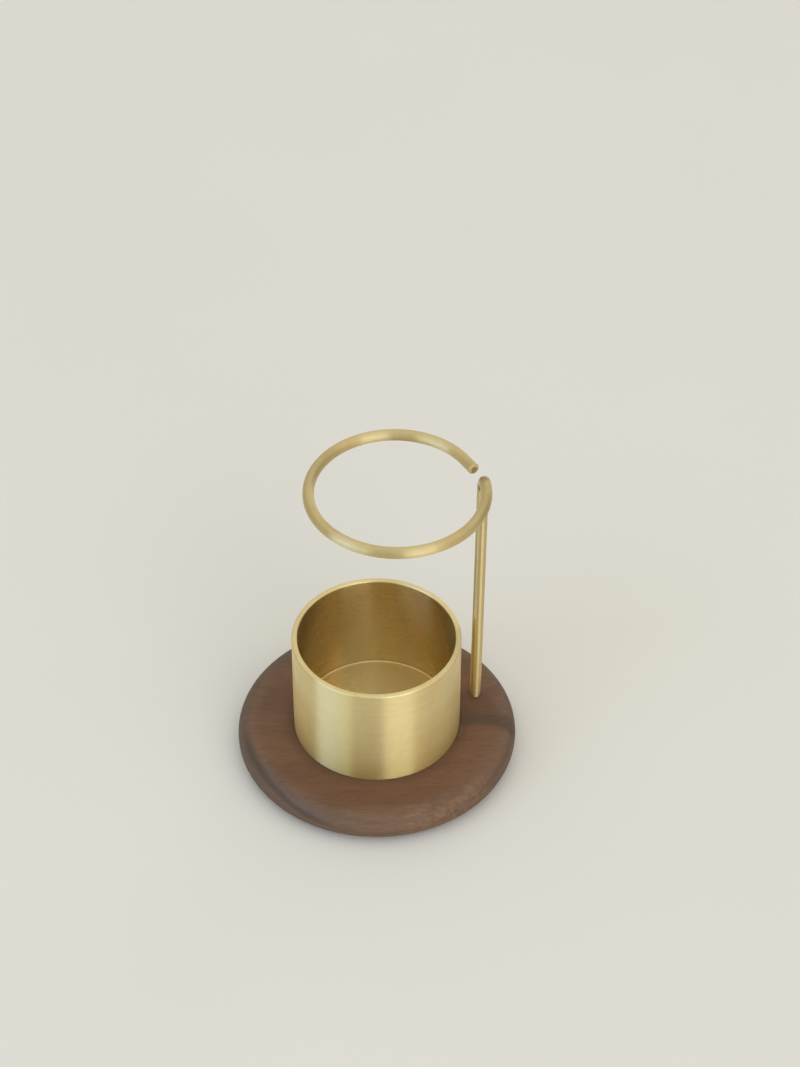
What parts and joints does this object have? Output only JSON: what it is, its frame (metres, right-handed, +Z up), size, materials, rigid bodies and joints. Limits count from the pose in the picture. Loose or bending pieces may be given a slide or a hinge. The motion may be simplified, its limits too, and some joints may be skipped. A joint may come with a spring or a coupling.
{
  "type": "pen holder",
  "caption": "Pen holder: round walnut base with a turned brass cup and a bent brass rod that ends in an open ring above the cup, so a pen stands in the cup and leans on the ring.",
  "frame": {"origin": "on the resting surface, under the middle of the round base", "axes": "+Z up along the axis of the base and cup, -Y towards the front of the picture, +X to its right, where the post stands"},
  "size_m": [0.0754, 0.0754, 0.0905],
  "materials": {
    "walnut": "oiled, matt, fine grain along X",
    "pad_rubber": "matt black non-slip rubber",
    "cup_brass": "satin, fine turned lines round the axis",
    "rod_brass": "satin, drawn along the rod",
    "screw_steel": "zinc plated, dull"
  },
  "bodies": {
    "root": {"base": "walnut", "base_pad": "pad_rubber", "cup": "cup_brass", "ring_wire": "rod_brass", "cup_screw": "screw_steel", "cup_washer": "screw_steel"}
  },
  "joints": []
}
